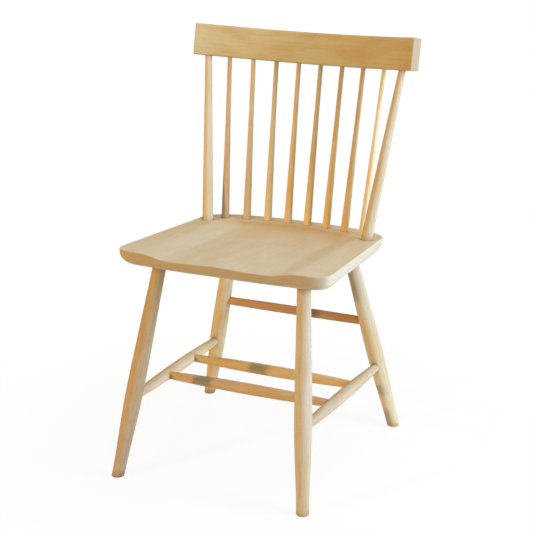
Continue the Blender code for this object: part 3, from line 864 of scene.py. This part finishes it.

# Each piece's tone, board and painted light together, at the start of its grain and at the end: front to
# rear, left to right or foot to head
BOARD_TONES_AND_PAINTED_LIGHT = {
    # Seat warmer towards the rear and crest paler towards its left end: painted light where the lamps fall
    "seat": (WHITE, BLOND),
    "crest_rail": (WHITE, WHEAT),
    "leg_front_left": (TAN, DUN),
    "leg_front_right": (PLAIN, PLAIN),
    "leg_rear_left": (SAPWOOD, SAPWOOD),
    "leg_rear_right": (BLEACHED, CREAM),
    "side_stretcher_left": (PALE, SAPWOOD),
    "side_stretcher_right": (DULL, PLAIN),
    "cross_stretcher_front": (GINGER, GINGER),
    "cross_stretcher_rear": (HONEY, HONEY),
    # Darker, partly as its own wood and partly as painted shade from the seat above
    "rear_stretcher": (HEARTWOOD_AND_SEAT_SHADE, UMBER),
    "back_post_left": (BLEACHED, BLEACHED),
    "back_post_right": (PLAIN, CREAM),
    # Spindle 1 darker all along: painted shade of the left back post
    "spindle_1": (BISCUIT, BISCUIT),
    "spindle_2": (CREAM, CREAM),
    # Spindles 3, 5, 6 and 7 darken towards the head: painted shade under the crest
    "spindle_3": (SAPWOOD, PAINTED_CREST_SHADE),
    "spindle_4": (STRAW, DUN),
    "spindle_5": (STRAW, PAINTED_CREST_SHADE),
    "spindle_6": (STRAW, PAINTED_CREST_SHADE),
    "spindle_7": (HONEY, PAINTED_CREST_SHADE),
    "spindle_8": (BLEACHED, BLEACHED),
}
GRAIN_STEP = Vector((0.137, 0.211, 0.733))  # each piece is cut from another place in the tree


def along_piece(point):
    """Grain of a turned piece: straight along its axis."""
    return point.copy(), Vector((0.0, 0.0, 1.0))


def along_seat(point):
    """Grain of the seat: from front to rear."""
    return Vector((point.x, point.z, point.y)), Vector((0.0, 1.0, 0.0))


def along_crest(point):
    """Grain of the crest: it follows the bend."""
    out = Vector((point.x, point.y + CREST_RADIUS))
    angle = math.atan2(out.x, out.y)
    fibre = Vector((math.cos(angle), -math.sin(angle), 0.0))
    return Vector((out.length - CREST_RADIUS, point.z, angle * CREST_RADIUS)), fibre


GRAINS = {"saddle_seat": along_seat, "bent_crest_rail": along_crest}


def lay_grain(piece, number, tones):
    """Stores each point's place in the tree, its fibres' direction and its tone, the board's with painted
    light laid in.

    In the tree the fibres run along the third axis.
    """
    rule = GRAINS.get(piece.name, along_piece)
    turn = piece.matrix_world.to_3x3()
    laid = [rule(vert.co) for vert in piece.data.vertices]
    low = min(place.z for place, fibre in laid)
    high = max(place.z for place, fibre in laid)
    first, last = (Vector(linear(tone)) for tone in tones)
    places = []
    fibres = []
    colours = []
    for place, fibre in laid:
        colours.extend(first.lerp(last, (place.z - low) / (high - low)))
        places.extend(place + GRAIN_STEP * number)
        fibres.extend(turn @ fibre)
    for name, values in (("grain", places), ("fibre", fibres)):
        attribute = piece.data.attributes.new(name, "FLOAT_VECTOR", "POINT")
        attribute.data.foreach_set("vector", values)
    attribute = piece.data.attributes.new("board_tone_and_painted_light", "FLOAT_COLOR", "POINT")
    attribute.data.foreach_set("color", colours)


def make_chair():
    """Makes every piece, lays its wood, and puts it in the place of its CAD node."""
    legs = leg_axes()
    pieces, in_seat, in_crest = make_back()
    underframe, rear_y = make_underframe(legs)
    pieces |= underframe
    pieces["seat"] = make_seat()
    pieces["crest_rail"] = make_crest()
    bore(pieces["seat"], in_seat + [(leg.entry, leg.end, LEG_TOP_RADIUS) for leg in legs.values()])
    bore(pieces["crest_rail"], in_crest)
    bpy.context.view_layer.update()

    low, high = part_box("rear_stretcher")
    centring = Matrix.Translation((0.0, (low.y + high.y) / 2 - rear_y, 0.0))
    cutters = []
    for number, (node, piece) in enumerate(sorted(pieces.items())):
        cutters += settle(piece)
        lay_grain(piece, number, BOARD_TONES_AND_PAINTED_LIGHT[node])
        piece.data.materials.clear()
        piece.data.materials.append(WOODS[node.split("_")[0]][0])
    for cutter in cutters:
        bpy.data.objects.remove(cutter, do_unlink=True)
    for node, piece in pieces.items():
        piece.data.transform(centring @ piece.matrix_world)
        piece.matrix_world = Matrix.Identity(4)
        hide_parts(node)
        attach(piece, "root")


make_chair()


# Studio

CAMERA_PLACE = Vector((1.08026, -2.39715, 1.22834))
CAMERA_AIM = Vector((0.00973, 0.0, 0.37939))
CAMERA_ROLL = math.radians(0.125)
CAMERA_LENS = 95.45  # mm
CAMERA_FRAME = 36.0  # mm wide
STUDIO_MIDDLE = Vector((0.0, 0.0, 0.40))
FLOOR_REACH = 6.0
FLOOR_DROP = 0.0005  # keeps the floor clear of the feet
PAPER_WHITE = "F2F1EE"
SHADOW_NEAR = 0.25  # from the middle of the floor out, the shadow fades between these two
SHADOW_FAR = 0.75
SHADOW_SHARE = 0.10  # how much of the paper's own shade shows beside plain white
WALL_LIGHT = 0.02

# Degrees round from the chair's front to the viewer's right, degrees up, distance, width, watts, colour
SOFTBOXES = {
    "lamp_front_left": (-33.5, 17.0, 3.2, 0.12, 60.0, "FFD791"),
    "room_in_front": (20.0, 40.0, 2.4, 1.60, 9.0, "FFFDF2"),
    "window_right_low": (92.0, 12.0, 2.6, 1.20, 85.0, "C9E1FF"),
    "window_right_high": (98.0, 40.0, 2.6, 2.00, 20.1, "D6E9FF"),
    "overhead": (0.0, 88.0, 2.2, 1.60, 17.5, "FFF3D1"),
    "warm_wall_behind": (180.0, 45.0, 2.6, 2.40, 18.7, "FFE7B8"),
}


def add_camera():
    """The camera at the photo's viewing angle."""
    camera = bpy.data.objects.new("camera", bpy.data.cameras.new("camera"))
    bpy.context.scene.collection.objects.link(camera)
    camera.data.sensor_width = CAMERA_FRAME
    camera.data.lens = CAMERA_LENS
    look = (CAMERA_AIM - CAMERA_PLACE).to_track_quat("-Z", "Y").to_matrix().to_4x4()
    roll = Matrix.Rotation(CAMERA_ROLL, 4, "Z")
    camera.matrix_world = Matrix.Translation(CAMERA_PLACE) @ look @ roll
    bpy.context.scene.camera = camera


def add_softbox(name, round_to, up, away, size, power, colour):
    """A round area light that faces the chair."""
    light = bpy.data.lights.new(name, "AREA")
    light.shape = "DISK"
    light.size = size
    light.energy = power
    light.color = linear(colour)[:3]
    lamp = bpy.data.objects.new(name, light)
    bpy.context.scene.collection.objects.link(lamp)
    turn = math.radians(round_to)
    rise = math.radians(up)
    level = math.cos(rise)
    towards = Vector((math.sin(turn) * level, -math.cos(turn) * level, math.sin(rise)))
    facing = towards.to_track_quat("Z", "Y").to_matrix().to_4x4()
    lamp.matrix_world = Matrix.Translation(STUDIO_MIDDLE + towards * away) @ facing


def add_floor():
    """White paper, seen as plain white but for the chair's shadow."""
    bm = bmesh.new()
    bmesh.ops.create_grid(bm, x_segments=1, y_segments=1, size=FLOOR_REACH)
    floor = add_object("studio_floor", bm)
    floor.location.z = -FLOOR_DROP
    material = bpy.data.materials.new("matt_white_paper")
    material.use_nodes = True
    tree = material.node_tree
    tree.nodes.clear()
    from_camera = add_node(tree, "LightPath", {}, "Is Camera Ray")
    place = add_node(tree, "TexCoord", {}, "Object")
    away = add_node(tree, "VectorMath", {0: place}, "Value", operation="LENGTH")
    inputs = {"Value": away, "From Min": SHADOW_NEAR, "From Max": SHADOW_FAR}
    inputs |= {"To Min": 1.0 - SHADOW_SHARE, "To Max": 1.0}
    plain = add_node(tree, "MapRange", inputs, interpolation_type="SMOOTHSTEP")
    seen = add_node(tree, "Math", {0: from_camera, 1: plain}, operation="MULTIPLY")
    paper = add_node(tree, "BsdfDiffuse", {"Color": linear(PAPER_WHITE)})
    white = add_node(tree, "Emission", {"Color": linear(WHITE), "Strength": 1.0})
    shown = add_node(tree, "MixShader", {0: seen, 1: paper, 2: white})
    add_node(tree, "OutputMaterial", {"Surface": shown})
    floor.data.materials.append(material)


def add_world():
    """White all round to the camera and in reflections, and a little light from the walls."""
    world = bpy.data.worlds.new("white_studio")
    bpy.context.scene.world = world
    world.use_nodes = True
    tree = world.node_tree
    tree.nodes.clear()
    from_camera = add_node(tree, "LightPath", {}, "Is Camera Ray")
    from_gloss = add_node(tree, "LightPath", {}, "Is Glossy Ray")
    seen = add_node(tree, "Math", {0: from_camera, 1: from_gloss}, operation="MAXIMUM")
    walls = add_node(tree, "Background", {"Color": linear(PAPER_WHITE), "Strength": WALL_LIGHT})
    white = add_node(tree, "Background", {"Color": linear(WHITE), "Strength": 1.0})
    shown = add_node(tree, "MixShader", {0: seen, 1: walls, 2: white})
    add_node(tree, "OutputWorld", {"Surface": shown})


add_camera()
add_floor()
add_world()
for name, settings in SOFTBOXES.items():
    add_softbox(name, *settings)
bpy.context.scene.view_settings.view_transform = "Standard"
